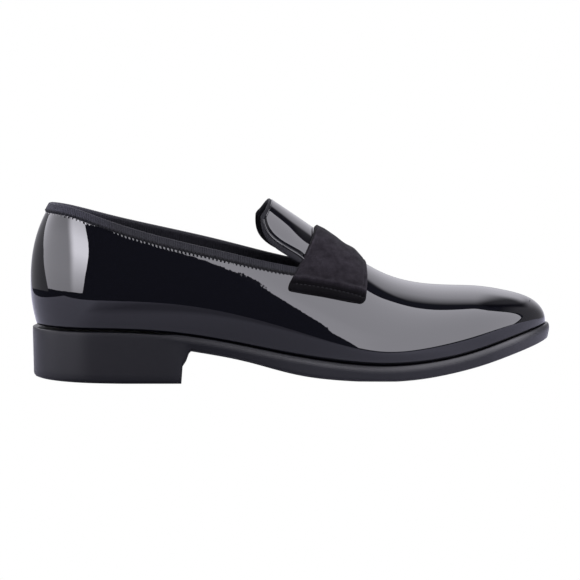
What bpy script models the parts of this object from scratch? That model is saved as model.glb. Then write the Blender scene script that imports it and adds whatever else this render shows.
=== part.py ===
"""Dress loafer for the right foot: unit sole, insole, upper with tongue, collar binding and strap."""
import math

import bmesh
import bpy
import numpy as np

MM = 0.001

# Driving dimensions in millimetres, x from the heel bulge, y to the wearer's left, z from the floor
TOE_X = 301.4           # tip of the upper
THROAT_X = 165.0        # where collar and tongue part
TONGUE_X = 139.8        # tongue tip on the ridge
WALL = 1.8              # leather and lining together
GAP = 0.3               # clearance between neighbouring pieces
WELT = 2.4              # sole lip beyond the feather edge
BREAST_X = 89.2         # front of the heel at the floor

# Rounding of the plan outline and of the toe's front
HEEL_ROUND = 42.0
HEEL_ROUND_POWER = 2.4
TOE_ROUND = 45.0
TOE_ROUND_POWER = 2.2
TOE_WIDTH_POWER = 0.5
TOE_HEIGHT_POWER = 0.47

# Back curve of the heel: the bulge's height, how far it leans in above it at the collar and below it at the
# feather edge, and how far along the quarters the lean reaches
BULGE_Z = 55.0
BACK_TOP_Z = 103.0
BACK_TOP_LEAN = 12.4
BACK_TOP_POWER = 2.4
BACK_FOOT_Z = 32.6
BACK_FOOT_LEAN = 3.3
BACK_REACH = 75.0

# Sections of the last. Widths are at the widest level, which lies swell above the feather edge.
# The ridge lies crown above it. Fullness below 1 squares the shoulders, pinch draws the wall in between the
# swell and the ridge, lean shifts the ridge to the medial side, and tuck draws the wall in below the swell.
SECTION_COLUMNS = ("x", "centre", "half", "feather", "swell", "crown", "fullness", "pinch", "lean", "tuck")
SECTIONS = (
    (0.0, 0.0, 32.0, 32.6, 19.5, 166.0, 1.00, 0.14, 0.0, 3.0),
    (35.0, 0.0, 33.0, 31.7, 19.0, 144.0, 1.00, 0.16, 0.0, 3.0),
    (75.0, -0.8, 33.6, 30.2, 17.8, 119.0, 1.00, 0.19, 0.5, 3.2),
    (110.0, -2.0, 35.0, 25.6, 16.8, 100.0, 1.00, 0.20, 2.0, 4.0),
    (150.0, -2.4, 39.0, 17.8, 14.0, 80.6, 1.00, 0.14, 4.0, 4.2),
    (180.0, -2.0, 43.6, 13.4, 9.2, 63.8, 1.00, 0.09, 5.0, 3.6),
    (205.0, -1.2, 46.8, 11.8, 6.4, 49.4, 1.00, 0.05, 5.0, 3.0),
    (230.0, 0.4, 46.6, 13.4, 6.9, 40.8, 0.96, 0.02, 4.5, 2.6),
    (255.0, 2.2, 41.6, 18.0, 7.5, 34.8, 0.92, 0.00, 3.5, 2.2),
    (280.0, 3.8, 34.4, 25.4, 7.5, 27.4, 0.90, 0.00, 2.0, 1.8),
    (301.4, 5.0, 28.6, 31.4, 7.5, 25.0, 0.90, 0.00, 0.0, 1.4),
)

# Fuller wall at the waist, fading out along the quarter and down to the feather edge
BELLY = 1.2
BELLY_X = 150.0
BELLY_SPAN = 60.0
BELLY_POWER = 1.5

# Height of the upper's raw edge at the collar, and how much higher it lies on the medial side
COLLAR_COLUMNS = ("x", "height", "medial_rise")
COLLAR = (
    (0.0, 102.4, 0.0),
    (20.0, 101.4, -2.4),
    (45.0, 94.2, -1.0),
    (75.0, 84.9, 1.5),
    (110.0, 76.4, 1.9),
    (140.0, 69.4, 1.0),
    (165.0, 64.6, 0.0),
)

# Tongue: its side edge rises towards the tip, lower on the medial side, its end is cut square to the ridge
# and turned a little, and it flares a little wider than the last
TONGUE_TAPER = 0.2
TONGUE_ROUND = 0.5
TONGUE_ROUND_POWER = 6
TONGUE_RAKE = 0.62
TONGUE_TURN = 0.10
TONGUE_SKEW = 0.10
TONGUE_FLARE = 0.10
TONGUE_FLARE_END = 0.5

# Underside of the sole, from the breast forward, and the heel's lift at the back
UNDERSIDE_COLUMNS = ("x", "height")
UNDERSIDE = (
    (BREAST_X + 4.4, 17.2),
    (128.0, 10.4),
    (155.0, 3.4),
    (175.0, 0.8),
    (190.0, 0.0),
    (212.0, 0.0),
    (235.0, 2.4),
    (262.0, 8.2),
    (285.0, 15.2),
    (301.0, 20.6),
    (304.0, 21.8),
)
FLAT_START = 190.0
FLAT_END = 212.0
# Front of the heel from the floor up: x and height
BREAST = (
    (BREAST_X, 0.0),
    (BREAST_X + 0.8, 10.0),
    (BREAST_X + 2.9, 13.2),
    (BREAST_X + 4.4, 17.2),
)

# Side of the sole, from the top edge down: inset from the lip and depth below the top
LIP_COLUMNS = ("inset", "depth")
LIP = (
    (3.2, 0.0),
    (1.5, 0.1),
    (0.4, 0.7),
    (0.0, 1.8),
    (0.2, 2.9),
    (0.8, 3.4),
)
EDGE_COLUMNS = ("inset", "heel_rise", "fore_rise")
EDGE = (
    (0.8, 2.4, 5.0),
    (1.6, 0.7, 3.5),
    (5.0, 0.0, 2.4),
)
# Underside from edge to edge: share of the way across, and the rise of the rounded tread there
TREAD_COLUMNS = ("share", "fore_rise")
TREAD = (
    (0.12, 1.1),
    (0.28, 0.0),
    (0.72, 0.0),
    (0.88, 1.1),
)
TREAD_SPAN = 25.0       # half width below which the tread's rounding fades out
TOE_EDGE = 0.45         # the edge's rise left at the toe tip
HEEL_LIFT = 1.7         # the heel's back edge clears the floor by this much
HEEL_LIFT_POWER = 1.5
HEEL_FLAT_X = 58.0      # and from here to the breast it stands flat
BREAST_SLANT = 3.4      # the breast lies this much further back on the medial side
BREAST_REACH = 26.0     # and this is how far before and behind it the slant dies out

# Insole
INSOLE_THICK = 2.4
INSOLE_INSET = 2.7
INSOLE_CHAMFER = 0.6

# Collar binding
RIBBON = 0.7
BINDING_DEPTH = 5.0
BINDING_END_X = 153.2

# Saddle strap: its edges on the ridge and at its lower ends, in x, and its lower ends' heights
STRAP_REAR_TOP = 165.6
STRAP_REAR_END = 149.6
STRAP_REAR_POWER = 3.0
STRAP_FRONT_TOP = 196.2
STRAP_FRONT_END = 193.8
STRAP_FRONT_POWER = 4
STRAP_REAR_Z = 54.0
STRAP_FRONT_Z = 46.6
STRAP_GAP = 0.8         # the tongue flares out below the strap's rear edge
STRAP_THICK = 2.3
STRAP_EDGE = 1.0
STRAP_SWELL_ALONG = 4
STRAP_SWELL_ACROSS = 8

# Mesh density, in steps, and how the steps are spread
HEEL_STEPS = 9
QUARTER_STEPS = 11
LOWER_STEPS = 4
UPPER_STEPS = 7
CROWN_STEPS = 14
VAMP_STEPS = 24
TONGUE_STEPS = 8
SOLE_STEPS = 16
ARCH_STEPS = 12
FLAT_STEPS = 4
STRAP_STEPS_ALONG = 10
STRAP_STEPS_ACROSS = 26
VAMP_EVEN = 0.15
TONGUE_STEP_POWER = 1.5
MERGE = 0.001
SHARP_ANGLE = 35.0

# Finishes: base colour, roughness
FINISHES = {
    "sole": ((0.016, 0.016, 0.019), 0.5),
    "insole": ((0.012, 0.012, 0.014), 0.7),
    "upper": ((0.004, 0.004, 0.005), 0.06),
    "collar_binding": ((0.028, 0.028, 0.032), 0.75),
    "strap": ((0.022, 0.020, 0.024), 0.95),
}


def natural_spline(knots, values):
    """Returns the natural cubic spline through a table's column, as a function of x."""
    knots = np.asarray(knots, float)
    values = np.asarray(values, float)
    gap = np.diff(knots)
    slope = np.diff(values) / gap
    count = len(knots)
    system = np.eye(count)
    target = np.zeros(count)
    for i in range(1, count - 1):
        system[i, i - 1:i + 2] = gap[i - 1], 2 * (gap[i - 1] + gap[i]), gap[i]
        target[i] = 6 * (slope[i] - slope[i - 1])
    bend = np.linalg.solve(system, target)

    def value(x):
        x = np.asarray(x, float)
        i = np.clip(np.searchsorted(knots, x) - 1, 0, count - 2)
        ahead = knots[i + 1] - x
        behind = x - knots[i]
        cubic = (bend[i] * ahead ** 3 + bend[i + 1] * behind ** 3) / (6 * gap[i])
        start = (values[i] / gap[i] - bend[i] * gap[i] / 6) * ahead
        end = (values[i + 1] / gap[i] - bend[i + 1] * gap[i] / 6) * behind
        return cubic + start + end

    return value


def named(columns, table):
    """A table's rows with their columns by name."""
    return [dict(zip(columns, row)) for row in table]


def table_splines(names, rows):
    """One spline of the first column for each other named column of a table."""
    data = np.array(rows, float)
    return {name: natural_spline(data[:, 0], data[:, i]) for i, name in enumerate(names) if i}


SECTION = table_splines(SECTION_COLUMNS, SECTIONS)
COLLAR_SPLINES = table_splines(COLLAR_COLUMNS, COLLAR)
collar_height = COLLAR_SPLINES["height"]
medial_rise = COLLAR_SPLINES["medial_rise"]


def ease(share):
    """Goes smoothly from 0 to 1 as its share does."""
    share = np.clip(share, 0, 1)
    return share ** 2 * (3 - 2 * share)


def heel_round(x):
    return 1 - np.clip(1 - x / HEEL_ROUND, 0, 1) ** HEEL_ROUND_POWER


def toe_round(x):
    return 1 - np.clip(1 - (TOE_X - x) / TOE_ROUND, 0, 1) ** TOE_ROUND_POWER


def section(x):
    """Sizes of the last's section at x, rounded off at heel and toe."""
    size = {name: spline(x) for name, spline in SECTION.items()}
    width = np.sqrt(heel_round(x)) * toe_round(x) ** TOE_WIDTH_POWER
    height = toe_round(x) ** TOE_HEIGHT_POWER
    for name in ("half", "lean", "tuck"):
        size[name] = size[name] * width
    for name in ("swell", "crown"):
        size[name] = size[name] * height
    return size


def back_shift(x, z):
    """How far the heel's back curve leans in at height z, fading out along the quarters."""
    above = np.clip((z - BULGE_Z) / (BACK_TOP_Z - BULGE_Z), 0, None)
    below = np.clip((BULGE_Z - z) / (BULGE_Z - BACK_FOOT_Z), 0, None)
    lean = BACK_TOP_LEAN * above ** BACK_TOP_POWER + BACK_FOOT_LEAN * below ** 2
    return lean * np.clip(1 - x / BACK_REACH, 0, 1) ** 3


def last_point(x, t):
    """Point of the last at station x. From t = -1 to 0 it climbs from the lateral feather edge to the
    swell, from 0 to 1 it goes over the ridge to the medial swell, and from 1 to 2 down the medial wall."""
    x, t = np.broadcast_arrays(np.asarray(x, float), np.asarray(t, float))
    size = section(x)
    over = math.pi * np.clip(t, 0, 1)
    down = np.clip(-t, 0, 1) + np.clip(t - 1, 0, 1)
    across = -np.cos(over) * (1 - size["pinch"] * np.sin(2 * over) ** 2)
    rise = np.clip(np.sin(over), 0, 1) ** size["fullness"]
    belly = BELLY * np.exp(-((x - BELLY_X) / BELLY_SPAN) ** 2) * (1 - down) ** BELLY_POWER
    half = size["half"] - size["tuck"] * down ** 2 + belly
    y = size["centre"] + across * half + size["lean"] * (1 - across ** 2)
    z = size["feather"] + size["swell"] * (1 - down) + (size["crown"] - size["swell"]) * rise
    return np.stack([x + back_shift(x, z), y, z], axis=-1)


def last_normal(x, t, step=0.01):
    """Outward direction of the last at a point."""
    ahead = last_point(x + step, t) - last_point(x - step, t)
    over = last_point(x, t + step) - last_point(x, t - step)
    normal = np.cross(ahead, over)
    return normal / np.linalg.norm(normal, axis=-1, keepdims=True)


def level(x, height):
    """Value of t at which the lateral wall above the swell reaches a height."""
    size = section(x)
    share = (height - size["feather"] - size["swell"]) / (size["crown"] - size["swell"])
    return np.arcsin(np.clip(share, 0, 1) ** (1 / size["fullness"])) / math.pi


def tongue_point(along, across):
    """Point of the tongue: along runs from the throat to the tip, across from -1 lateral to 1 medial."""
    along, across = np.broadcast_arrays(np.asarray(along, float), np.asarray(across, float))
    x = THROAT_X + (TONGUE_X - THROAT_X) * along
    ridge = last_point(x, 0.5)
    root_drop = last_point(THROAT_X, 0.5)[2] - collar_height(THROAT_X)
    drop = root_drop * (1 - TONGUE_TAPER * along) * (1 - TONGUE_ROUND * along ** TONGUE_ROUND_POWER)
    drop = drop * np.where(across > 0, 1 + TONGUE_SKEW * np.sin(math.pi * along), 1)
    edge = level(x, ridge[..., 2] - drop)
    point = last_point(x, 0.5 + across * (0.5 - edge))
    fall = ridge - point
    point[..., 0] += ease(along) * (TONGUE_TURN * fall[..., 1] - TONGUE_RAKE * fall[..., 2])
    point[..., 1] -= TONGUE_FLARE * ease(along / TONGUE_FLARE_END) * fall[..., 1]
    return point


def quarter_stations():
    """Stations along one quarter, from the heel's middle to the throat, close together round the heel."""
    heel = HEEL_ROUND * np.linspace(0, 1, HEEL_STEPS + 1) ** 2
    side = np.linspace(HEEL_ROUND, BINDING_END_X, QUARTER_STEPS)[1:]
    return np.concatenate([heel, side, [THROAT_X]])


def vamp_stations():
    """Stations from the throat to the toe tip, close together at the tip."""
    share = np.linspace(0, 1, VAMP_STEPS + 1)
    reach = TOE_X - THROAT_X
    return TOE_X - reach * (VAMP_EVEN * (1 - share) + (1 - VAMP_EVEN) * (1 - share) ** 2)


def add_sheet(mesh, grid):
    """Adds a grid of points, given in millimetres, as faces."""
    rows = [[mesh.verts.new(point * MM) for point in row] for row in grid]
    for row, after in zip(rows, rows[1:]):
        for i in range(len(row) - 1):
            mesh.faces.new((row[i], after[i], after[i + 1], row[i + 1]))


def add_loop_band(mesh, rings):
    """Joins closed rings of vertices, each to the next, with quads."""
    for ring, after in zip(rings, rings[1:]):
        for i in range(len(ring)):
            j = (i + 1) % len(ring)
            mesh.faces.new((ring[i], ring[j], after[j], after[i]))


def finish_object(name, mesh, collection, parent):
    """Turns a bmesh into a named, smooth-shaded object with its own material."""
    bmesh.ops.remove_doubles(mesh, verts=mesh.verts, dist=MERGE * MM)
    data = bpy.data.meshes.new(name)
    mesh.to_mesh(data)
    mesh.free()
    data.shade_smooth()
    data.set_sharp_from_angle(angle=math.radians(SHARP_ANGLE))
    colour, roughness = FINISHES[name]
    material = bpy.data.materials.new(name)
    material.use_nodes = True
    shader = material.node_tree.nodes["Principled BSDF"]
    shader.inputs["Base Color"].default_value = (*colour, 1)
    shader.inputs["Roughness"].default_value = roughness
    data.materials.append(material)
    thing = bpy.data.objects.new(name, data)
    thing.parent = parent
    collection.objects.link(thing)
    return thing


def make_upper(collection, parent):
    """Hollow upper: quarters, vamp and tongue as one open surface, thickened inwards."""
    mesh = bmesh.new()
    lower = np.linspace(-1, 0, LOWER_STEPS + 1)
    share = np.linspace(0, 1, UPPER_STEPS + 1)
    stations = quarter_stations()
    height = collar_height(stations)
    edge = level(stations, height)
    far_edge = level(stations, height + medial_rise(stations))
    climb = [np.concatenate([lower, share[1:] * top]) for top in edge]
    far_climb = [np.concatenate([lower, share[1:] * top]) for top in far_edge]
    add_sheet(mesh, [last_point(x, t) for x, t in zip(stations, climb)])
    add_sheet(mesh, [last_point(x, 1 - t[::-1]) for x, t in zip(stations, far_climb)])
    over = np.linspace(edge[-1], 1 - edge[-1], CROWN_STEPS + 1)
    whole = np.concatenate([climb[-1], over[1:-1], 1 - climb[-1][::-1]])
    add_sheet(mesh, [last_point(x, whole) for x in vamp_stations()])
    along = 1 - np.linspace(0, 1, TONGUE_STEPS + 1)[:-1] ** TONGUE_STEP_POWER
    across = np.linspace(-1, 1, CROWN_STEPS + 1)
    add_sheet(mesh, [tongue_point(a, across) for a in np.append(along, 0)])
    upper = finish_object("upper", mesh, collection, parent)
    shell = upper.modifiers.new("wall", "SOLIDIFY")
    shell.thickness = WALL * MM
    shell.offset = -1
    shell.use_even_offset = False
    return upper


def feather_loop(stations, grow):
    """Feather edge in plan as a closed loop from the heel along the lateral side, grown outwards."""
    lateral = last_point(stations, -1.0)
    medial = last_point(stations, 2.0)
    loop = np.concatenate([lateral, medial[-2:0:-1]])[:, :2]
    along = np.roll(loop, -1, axis=0) - np.roll(loop, 1, axis=0)
    outward = np.stack([along[:, 1], -along[:, 0]], axis=1)
    outward /= np.linalg.norm(outward, axis=1, keepdims=True)
    return loop + grow * outward


def both_sides(values):
    """Repeats values along the lateral stations for the whole loop."""
    return np.concatenate([values, values[-2:0:-1]])


def sole_stations():
    """Stations of the sole, with the breast's own among them."""
    heel = BREAST_X * np.linspace(0, 1, SOLE_STEPS) ** 2
    breast = np.array([row[0] for row in BREAST])
    middle = np.linspace(breast[-1], FLAT_START, ARCH_STEPS)
    flat = np.linspace(FLAT_START, FLAT_END, FLAT_STEPS)
    toe = TOE_X - (TOE_X - FLAT_END) * np.linspace(1, 0, SOLE_STEPS) ** 2
    return np.unique(np.concatenate([heel, breast, middle, flat, toe]).round(4))


def underside_height(x):
    """Height of the sole's underside: heel, breast and then the arch, the flat tread and the toe spring."""
    arch = table_splines(UNDERSIDE_COLUMNS, UNDERSIDE)["height"]
    breast = np.array(BREAST)
    heel = HEEL_LIFT * np.clip(1 - x / HEEL_FLAT_X, 0, 1) ** HEEL_LIFT_POWER
    front = np.where((x > FLAT_START) & (x < FLAT_END), 0, np.maximum(arch(x), 0))
    step = np.interp(x, breast[:, 0], breast[:, 1])
    return np.where(x <= BREAST_X, heel, np.where(x < breast[-1, 0], step, front))


def add_cross_cap(mesh, ring, count, upward, inner=()):
    """Closes a loop, whose first count vertices are lateral, with strips across to its medial side.
    Each row of inner holds the vertices along the loop's middle at one share of the way across."""
    medial = [ring[-i] for i in range(count - 1)] + [ring[count - 1]]
    sides = [ring[:count], *inner, medial]
    for near, far in zip(sides, sides[1:]):
        for i in range(count - 1):
            corners = list(dict.fromkeys((near[i], near[i + 1], far[i + 1], far[i])))
            mesh.faces.new(corners if upward else corners[::-1])


def slant_breast(plan):
    """Draws the medial end of the breast back and lets the shift die out along the outline."""
    near = 1 - np.abs(plan[:, 0] - BREAST[-1][0]) / BREAST_REACH
    share = (plan[:, 1] - plan[:, 1].min()) / np.ptp(plan[:, 1])
    return plan - np.stack([BREAST_SLANT * share * ease(near), 0 * share], axis=1)


def make_sole(collection, parent):
    """Unit sole: rings of the grown feather outline from the top edge down, then rows across the tread."""
    mesh = bmesh.new()
    stations = sole_stations()
    count = len(stations)
    top = both_sides(SECTION["feather"](stations) - GAP)
    bottom = both_sides(underside_height(stations))
    fore = both_sides(np.interp(stations, (FLAT_END, TOE_X), (1, TOE_EDGE)) * (stations >= BREAST[-1][0]))
    on_heel = both_sides(stations < BREAST[-1][0])
    rings = []
    for row in named(LIP_COLUMNS, LIP):
        rings.append((row["inset"], top - row["depth"]))
    for row in named(EDGE_COLUMNS, EDGE):
        rings.append((row["inset"], bottom + row["heel_rise"] * on_heel + row["fore_rise"] * fore))
    loops = []
    for inset, height in rings:
        plan = slant_breast(feather_loop(stations, WELT - inset))
        loops.append([mesh.verts.new((x * MM, y * MM, z * MM)) for (x, y), z in zip(plan, height)])
    add_loop_band(mesh, loops[::-1])
    add_cross_cap(mesh, loops[0], count, True)
    rim = loops[-1]
    rim_height = rings[-1][1]
    tread = []
    for row in named(TREAD_COLUMNS, TREAD):
        line = [rim[0]]
        for i in range(1, count - 1):
            place = rim[i].co.lerp(rim[-i].co, row["share"])
            round_off = min(1, (rim[-i].co.y - rim[i].co.y) / (2 * TREAD_SPAN * MM))
            target = bottom[i] + row["fore_rise"] * fore[i]
            place.z = (rim_height[i] + (target - rim_height[i]) * round_off) * MM
            line.append(mesh.verts.new(place))
        tread.append(line + [rim[count - 1]])
    add_cross_cap(mesh, rim, count, False, tread)
    return finish_object("sole", mesh, collection, parent)


def make_insole(collection, parent):
    """Insole on the sole's top, just inside the upper's wall."""
    mesh = bmesh.new()
    stations = sole_stations()
    seat = both_sides(SECTION["feather"](stations))
    shoulder = INSOLE_THICK - INSOLE_CHAMFER
    layers = ((INSOLE_INSET, 0.0), (INSOLE_INSET, shoulder), (INSOLE_INSET + INSOLE_CHAMFER, INSOLE_THICK))
    loops = []
    for inset, rise in layers:
        plan = feather_loop(stations, -inset)
        loops.append([mesh.verts.new((x * MM, y * MM, (z + rise) * MM)) for (x, y), z in zip(plan, seat)])
    add_loop_band(mesh, loops)
    add_cross_cap(mesh, loops[-1], len(stations), True)
    add_cross_cap(mesh, loops[0], len(stations), False)
    return finish_object("insole", mesh, collection, parent)


def make_binding(collection, parent):
    """Ribbon folded over the collar edge: a U-shaped section carried round the heel."""
    mesh = bmesh.new()
    side = quarter_stations()[:-1]
    x = np.concatenate([side[::-1], side[1:]])
    medial = np.arange(len(x)) >= len(side)
    height = collar_height(x) + medial_rise(x) * medial
    high = level(x, height)
    low = level(x, height - BINDING_DEPTH)
    edge = last_point(x, np.where(medial, 1 - high, high))
    foot = last_point(x, np.where(medial, 1 - low, low))
    rise = edge - foot
    rise /= np.linalg.norm(rise, axis=1, keepdims=True)
    outward = np.cross(rise, np.gradient(edge, axis=0))
    outward /= np.linalg.norm(outward, axis=1, keepdims=True)
    near = GAP
    far = GAP + RIBBON
    profile = (
        (far, -BINDING_DEPTH), (far, 0.0), (near, far), (-WALL - near, far), (-WALL - far, 0.0),
        (-WALL - far, -BINDING_DEPTH), (-WALL - near, -BINDING_DEPTH), (-WALL - near, near),
        (near, near), (near, -BINDING_DEPTH),
    )
    rings = []
    for point, out, up in zip(edge, outward, rise):
        rings.append([mesh.verts.new((point + a * out + b * up) * MM) for a, b in profile])
    add_loop_band(mesh, rings)
    mesh.faces.new(rings[0])
    mesh.faces.new(rings[-1][::-1])
    bmesh.ops.recalc_face_normals(mesh, faces=mesh.faces)
    return finish_object("collar_binding", mesh, collection, parent)


def strap_grid():
    """Stations and t values of the strap, rows from rear to front and columns from lateral to medial."""
    across = np.linspace(-1, 1, STRAP_STEPS_ACROSS + 1)[None, :]
    along = np.linspace(0, 1, STRAP_STEPS_ALONG + 1)[:, None]
    rear = STRAP_REAR_TOP + (STRAP_REAR_END - STRAP_REAR_TOP) * np.abs(across) ** STRAP_REAR_POWER
    front = STRAP_FRONT_TOP + (STRAP_FRONT_END - STRAP_FRONT_TOP) * across ** STRAP_FRONT_POWER
    x = rear + (front - rear) * along
    end = STRAP_REAR_Z + (STRAP_FRONT_Z - STRAP_REAR_Z) * along + 0 * across
    t = 0.5 + across * (0.5 - level(x, end))
    swell = (1 - (2 * along - 1) ** STRAP_SWELL_ALONG) * (1 - across ** STRAP_SWELL_ACROSS)
    return x, t, swell


def make_strap(collection, parent):
    """Padded strap over the instep, a slab between two offsets of the last's own surface."""
    mesh = bmesh.new()
    x, t, swell = strap_grid()
    base = last_point(x, t)
    normal = last_normal(x, t)
    thick = (STRAP_EDGE + (STRAP_THICK - STRAP_EDGE) * swell)[..., None]
    inside = base + STRAP_GAP * normal
    outside = base + (STRAP_GAP + thick) * normal
    add_sheet(mesh, outside)
    add_sheet(mesh, inside[::-1])
    for rim in (np.stack([inside[0], outside[0]]), np.stack([outside[-1], inside[-1]])):
        add_sheet(mesh, rim)
    for rim in (np.stack([outside[:, 0], inside[:, 0]]), np.stack([inside[:, -1], outside[:, -1]])):
        add_sheet(mesh, rim)
    bmesh.ops.remove_doubles(mesh, verts=mesh.verts, dist=MERGE * MM)
    bmesh.ops.recalc_face_normals(mesh, faces=mesh.faces)
    return finish_object("strap", mesh, collection, parent)


def main():
    for thing in list(bpy.data.objects):
        bpy.data.objects.remove(thing)
    collection = bpy.data.collections.new("dress_loafer")
    bpy.context.scene.collection.children.link(collection)
    frame = bpy.data.objects.new("shoe_frame", None)
    collection.objects.link(frame)
    lip = feather_loop(sole_stations(), WELT)
    frame.location = (-(TOE_X + WELT) / 2 * MM, -(lip[:, 1].min() + lip[:, 1].max()) / 2 * MM, 0)
    make_sole(collection, frame)
    make_insole(collection, frame)
    make_upper(collection, frame)
    make_binding(collection, frame)
    make_strap(collection, frame)


main()
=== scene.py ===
"""Dress loafer: patent upper, lining, ribbon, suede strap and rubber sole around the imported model.
Light panels on a dome give the patent leather the reflections of a studio."""
import math

import bmesh
import bpy
import numpy as np
from mathutils import Matrix, Vector


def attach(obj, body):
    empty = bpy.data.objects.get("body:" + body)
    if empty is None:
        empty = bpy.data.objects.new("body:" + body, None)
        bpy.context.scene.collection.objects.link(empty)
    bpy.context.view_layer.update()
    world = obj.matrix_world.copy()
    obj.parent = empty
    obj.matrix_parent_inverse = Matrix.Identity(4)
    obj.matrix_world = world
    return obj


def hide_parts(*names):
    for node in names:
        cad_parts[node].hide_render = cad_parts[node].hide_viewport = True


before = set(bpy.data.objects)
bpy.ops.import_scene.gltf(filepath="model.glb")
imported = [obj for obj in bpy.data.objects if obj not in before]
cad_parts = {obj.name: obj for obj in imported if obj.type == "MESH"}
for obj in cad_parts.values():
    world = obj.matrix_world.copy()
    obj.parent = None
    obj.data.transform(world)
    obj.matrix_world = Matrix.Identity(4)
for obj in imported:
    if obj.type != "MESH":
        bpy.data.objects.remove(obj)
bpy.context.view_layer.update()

MM = 0.001
WHITE = (1, 1, 1, 1)

# Shape of the last, in millimetres from the heel bulge, as in the part's source
TOE_X = 301.4
HEEL_ROUND = 42.0
HEEL_ROUND_POWER = 2.4
TOE_ROUND = 45.0
TOE_ROUND_POWER = 2.2
TOE_WIDTH_POWER = 0.5
TOE_HEIGHT_POWER = 0.47
BULGE_Z = 55.0
BACK_TOP_Z = 103.0
BACK_TOP_LEAN = 12.4
BACK_TOP_POWER = 2.4
BACK_FOOT_Z = 32.6
BACK_FOOT_LEAN = 3.3
BACK_REACH = 75.0
SECTION_COLUMNS = ("x", "centre", "half", "feather", "swell", "crown", "fullness", "pinch", "lean", "tuck")
SECTIONS = (
    (0.0, 0.0, 32.0, 32.6, 19.5, 166.0, 1.00, 0.14, 0.0, 3.0),
    (35.0, 0.0, 33.0, 31.7, 19.0, 144.0, 1.00, 0.16, 0.0, 3.0),
    (75.0, -0.8, 33.6, 30.2, 17.8, 119.0, 1.00, 0.19, 0.5, 3.2),
    (110.0, -2.0, 35.0, 25.6, 16.8, 100.0, 1.00, 0.20, 2.0, 4.0),
    (150.0, -2.4, 39.0, 17.8, 14.0, 80.6, 1.00, 0.14, 4.0, 4.2),
    (180.0, -2.0, 43.6, 13.4, 9.2, 63.8, 1.00, 0.09, 5.0, 3.6),
    (205.0, -1.2, 46.8, 11.8, 6.4, 49.4, 1.00, 0.05, 5.0, 3.0),
    (230.0, 0.4, 46.6, 13.4, 6.9, 40.8, 0.96, 0.02, 4.5, 2.6),
    (255.0, 2.2, 41.6, 18.0, 7.5, 34.8, 0.92, 0.00, 3.5, 2.2),
    (280.0, 3.8, 34.4, 25.4, 7.5, 27.4, 0.90, 0.00, 2.0, 1.8),
    (301.4, 5.0, 28.6, 31.4, 7.5, 25.0, 0.90, 0.00, 0.0, 1.4),
)
BELLY = 1.2
BELLY_X = 150.0
BELLY_SPAN = 60.0
BELLY_POWER = 1.5

# Place of the ridge round a section of the last
RIDGE = 0.5

# Fairing of each section: its sampling, the width and reach of the mean, and what counts as a point
FINE_T = np.linspace(-1, 2, 1501)
FINE_COUNT = 700
FAIRING = 1.6
FAIRING_SHARE = 0.03
FAIRING_REACH = 3
POINT_SIZE = 0.01

# Collar and tongue, as in the part's source
THROAT_X = 165.0
TONGUE_X = 139.8
COLLAR_COLUMNS = ("x", "height", "medial_rise")
COLLAR = (
    (0.0, 102.4, 0.0),
    (20.0, 101.4, -2.4),
    (45.0, 94.2, -1.0),
    (75.0, 84.9, 1.5),
    (110.0, 76.4, 1.9),
    (140.0, 69.4, 1.0),
    (165.0, 64.6, 0.0),
)
TONGUE_TAPER = 0.2
TONGUE_ROUND = 0.5
TONGUE_ROUND_POWER = 6
TONGUE_RAKE = 0.62
TONGUE_TURN = 0.10
TONGUE_SKEW = 0.10
TONGUE_FLARE = 0.10
TONGUE_FLARE_END = 0.5

# Layers of the upper, and the tongue's drawn-in margin with its turned-up edge
PATENT = 1.05
LINING_DEPTH = 1.1
LINING = 0.65
TONGUE_MARGIN = 2.0
TONGUE_SIZE = 28.0
TONGUE_CREASE = 3.6
TONGUE_TURN_UP = 0.36
TONGUE_CREASE_ROUND = 0.5
TONGUE_MARGIN_EASE = 4
TONGUE_ROW_POWER = 1.4

# Grids of the upper: spacing of vertices, and the run that each of its parts is given
UPPER_STEP = 1.4
LINING_STEP = 2.6
GRID_RUN = {"heel": 48, "lower": 22, "side": 50, "instep": 90, "vamp": 160, "tongue": 52}
VAMP_EVEN = 0.25

# Depth noted away from the collar, and distances within which vertices are joined
OFF_COLLAR = 100.0
UPPER_WELD = 0.02
FINE_WELD = 0.004
FLAT_SHARE = 0.1

# Tongue edge: fold of the leather, and the band's section as shares of the way to the rim and rises
EDGE_STEPS = (60, 90)
EDGE_EASE = 14
FOLD_RADIUS = 0.6
FOLD_SINK = 0.3
FOLD_SIDES = 12
EDGE_BAND = ((-0.4, -0.6), (0.0, -0.5), (0.3, -0.2), (0.55, -0.1), (0.8, -0.2), (0.97, -0.5), (1.0, -0.9),
             (0.85, -1.4), (0.4, -1.8), (-0.4, -1.8))
TONGUE_BAND_TONE = 0.3

# Ribbon: depth, ribs, scallops, and its outer side as shares of the depth from below and of the thickness
RIBBON_DEPTH = 4.8
RIBBON_FACE = 0.95
RIBBON_INSIDE = 0.25
RIBBON_CLEAR = 0.05
RIBBON_PITCH = 1.06
RIB_HEIGHT = 0.24
SCALLOP = 0.3
RIBBON_STEP = 0.13
RIBBON_EDGE = ((0.0, 0.5), (0.1, 0.72), (0.2, 0.86), (0.3, 0.95), (0.38, 1.0), (0.6, 1.0), (0.8, 1.0),
               (0.96, 1.0))
RIBBON_INNER = (0.2, 0.5, 0.8, 1.0)
RIBBON_TOP_STEPS = 9
RIBBON_SHARP = 60
RIBBON_END_X = 163.0
COLLAR_STEP = 0.6

# Stitches of the ribbon, and the leather's pucker under them by distance from the middle of the heel
STITCH_PITCH = 2.3
STITCH_OUT = 0.9
STITCH_RISE = 0.75
STITCH_SLANT = 0.12
STITCH_HALF = 0.36
STITCH_RADIUS = 0.22
STITCH_PRESS = 0.25
PRESSED_SHARE = 0.2
PUCKER = 0.055
HEEL_RUN = 175.5
PUCKER_DEPTH = (RIBBON_DEPTH + 0.1, RIBBON_DEPTH + 1.3)
PUCKER_BACK = (43.0, 48.0)
PUCKER_SIDE = (56.0, 66.0)

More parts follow.
